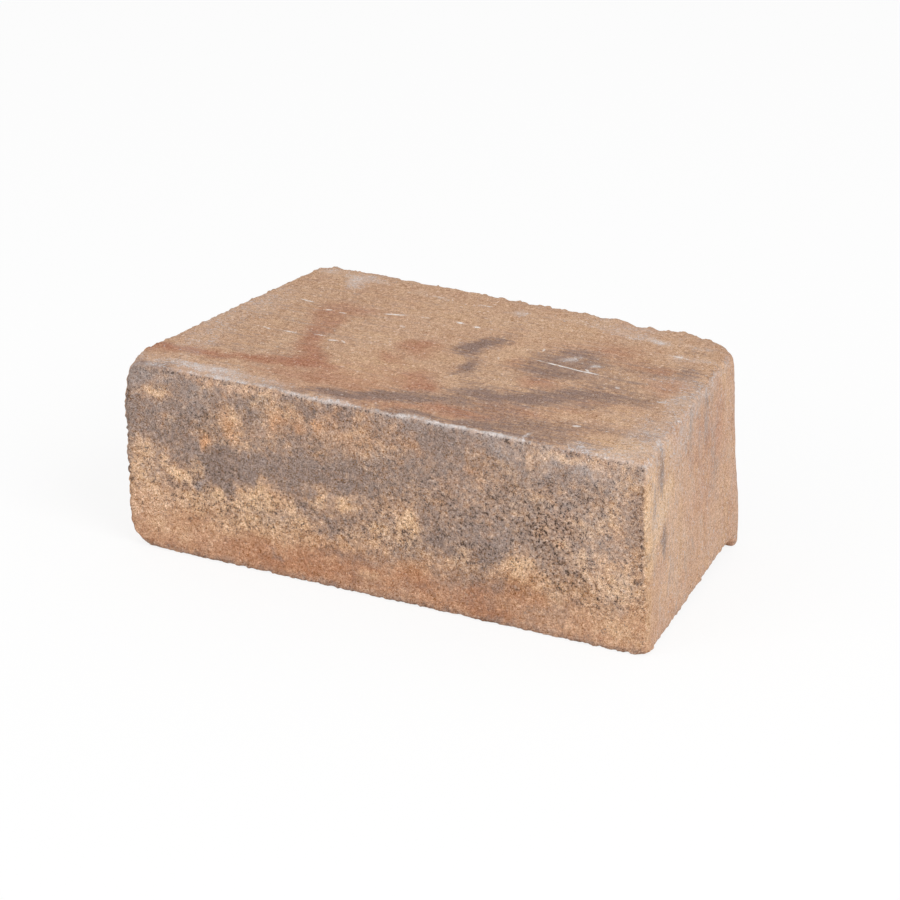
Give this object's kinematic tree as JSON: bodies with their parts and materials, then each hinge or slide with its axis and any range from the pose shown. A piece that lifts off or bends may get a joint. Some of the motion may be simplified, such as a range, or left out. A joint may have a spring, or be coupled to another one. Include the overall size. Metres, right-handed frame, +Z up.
{
  "type": "retaining wall block",
  "caption": "Solid concrete garden wall block with a face wider than its back, eased edges and a lip under its back that hooks behind the course below.",
  "frame": {"origin": "on the floor under the middle of the block's outline, as it stands unheld on its front bottom edge and its rear lip", "axes": "+X along the wall, to the right as seen from the front; +Y from the front face to the back; +Z up"},
  "size_m": [0.2932, 0.1618, 0.1088],
  "materials": {
    "concrete": "matt, blended tan, terracotta and charcoal"
  },
  "bodies": {
    "root": {"retaining_wall_block": "concrete"}
  },
  "joints": []
}
